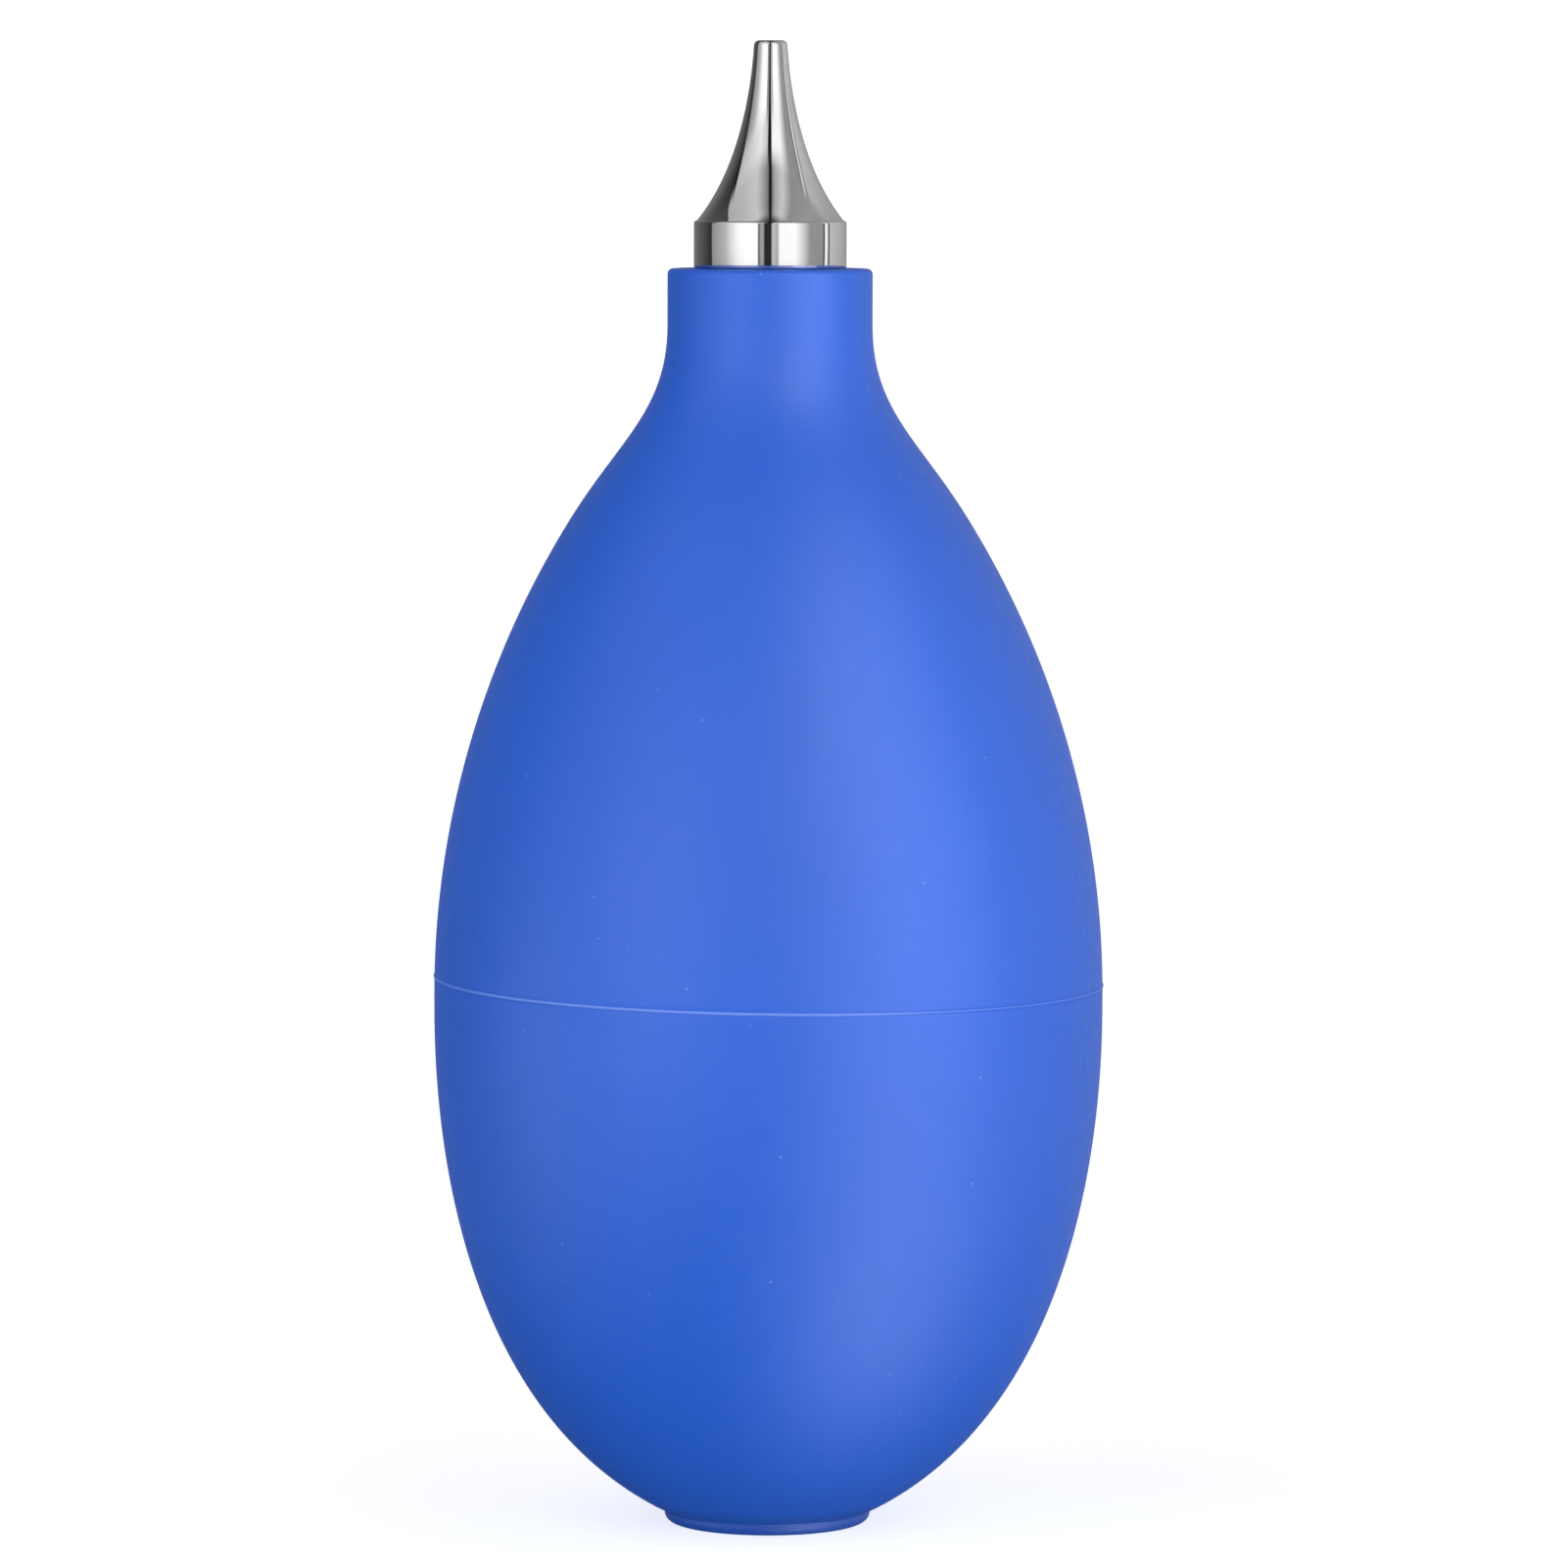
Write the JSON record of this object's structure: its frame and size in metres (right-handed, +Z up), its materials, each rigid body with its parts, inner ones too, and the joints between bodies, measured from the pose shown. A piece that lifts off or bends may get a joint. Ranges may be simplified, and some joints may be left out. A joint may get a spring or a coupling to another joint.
{
  "type": "hand air blower",
  "caption": "Egg-shaped rubber squeeze bulb on a short foot, with a polished steel nozzle in its neck; squeezing the sides blows air from the tip.",
  "frame": {"origin": "centre of the foot's underside, on the surface the blower stands on", "axes": "+Z up along the bulb's axis towards the nozzle tip; the two squeeze walls face -X (left) and +X (right), and -Y is the front"},
  "size_m": [0.0554, 0.0554, 0.122],
  "materials": {
    "bulb_rubber": "matte moulded silicone rubber, mid blue",
    "seam_rubber": "thin lighter blue bonding line",
    "polished_steel": "polished turned steel with faint turning marks",
    "nickel_brass": "nickel-plated brass, satin",
    "filter_felt": "white felt",
    "clear_silicone": "translucent silicone",
    "white_plastic": "moulded white plastic"
  },
  "bodies": {
    "bulb": {"lower_shell": "bulb_rubber", "upper_shell": "bulb_rubber", "seam_front": "seam_rubber", "seam_back": "seam_rubber", "inlet_housing": "nickel_brass", "inlet_grille": "nickel_brass", "inlet_filter": "filter_felt", "inlet_stop": "white_plastic"},
    "left_wall": {"left_wall_lower": "bulb_rubber", "left_wall_upper": "bulb_rubber", "left_seam": "seam_rubber"},
    "right_wall": {"right_wall_lower": "bulb_rubber", "right_wall_upper": "bulb_rubber", "right_seam": "seam_rubber"},
    "nozzle": {"nozzle": "polished_steel", "outlet_seat": "white_plastic", "outlet_stop": "white_plastic"},
    "inlet_disc": {"inlet_disc": "clear_silicone"},
    "outlet_disc": {"outlet_disc": "clear_silicone"}
  },
  "joints": [
    {"name": "left_squeeze", "type": "slide", "parent": "bulb", "child": "left_wall", "axis": [1, 0, 0], "range_m": [0, 0.012], "stiffness_N_per_m": 2500},
    {"name": "right_squeeze", "type": "slide", "parent": "bulb", "child": "right_wall", "axis": [-1, 0, 0], "range_m": [0, 0.012], "stiffness_N_per_m": 2500},
    {"name": "nozzle_pull", "type": "slide", "parent": "bulb", "child": "nozzle", "axis": [0, 0, 1], "range_m": [0, 0.018]},
    {"name": "inlet_lift", "type": "slide", "parent": "bulb", "child": "inlet_disc", "axis": [0, 0, 1], "range_m": [0, 0.0009]},
    {"name": "outlet_lift", "type": "slide", "parent": "nozzle", "child": "outlet_disc", "axis": [0, 0, 1], "range_m": [0, 0.0008]}
  ],
  "couplings": [
    {"joint": "right_squeeze", "follows": "left_squeeze", "ratio": 1}
  ]
}
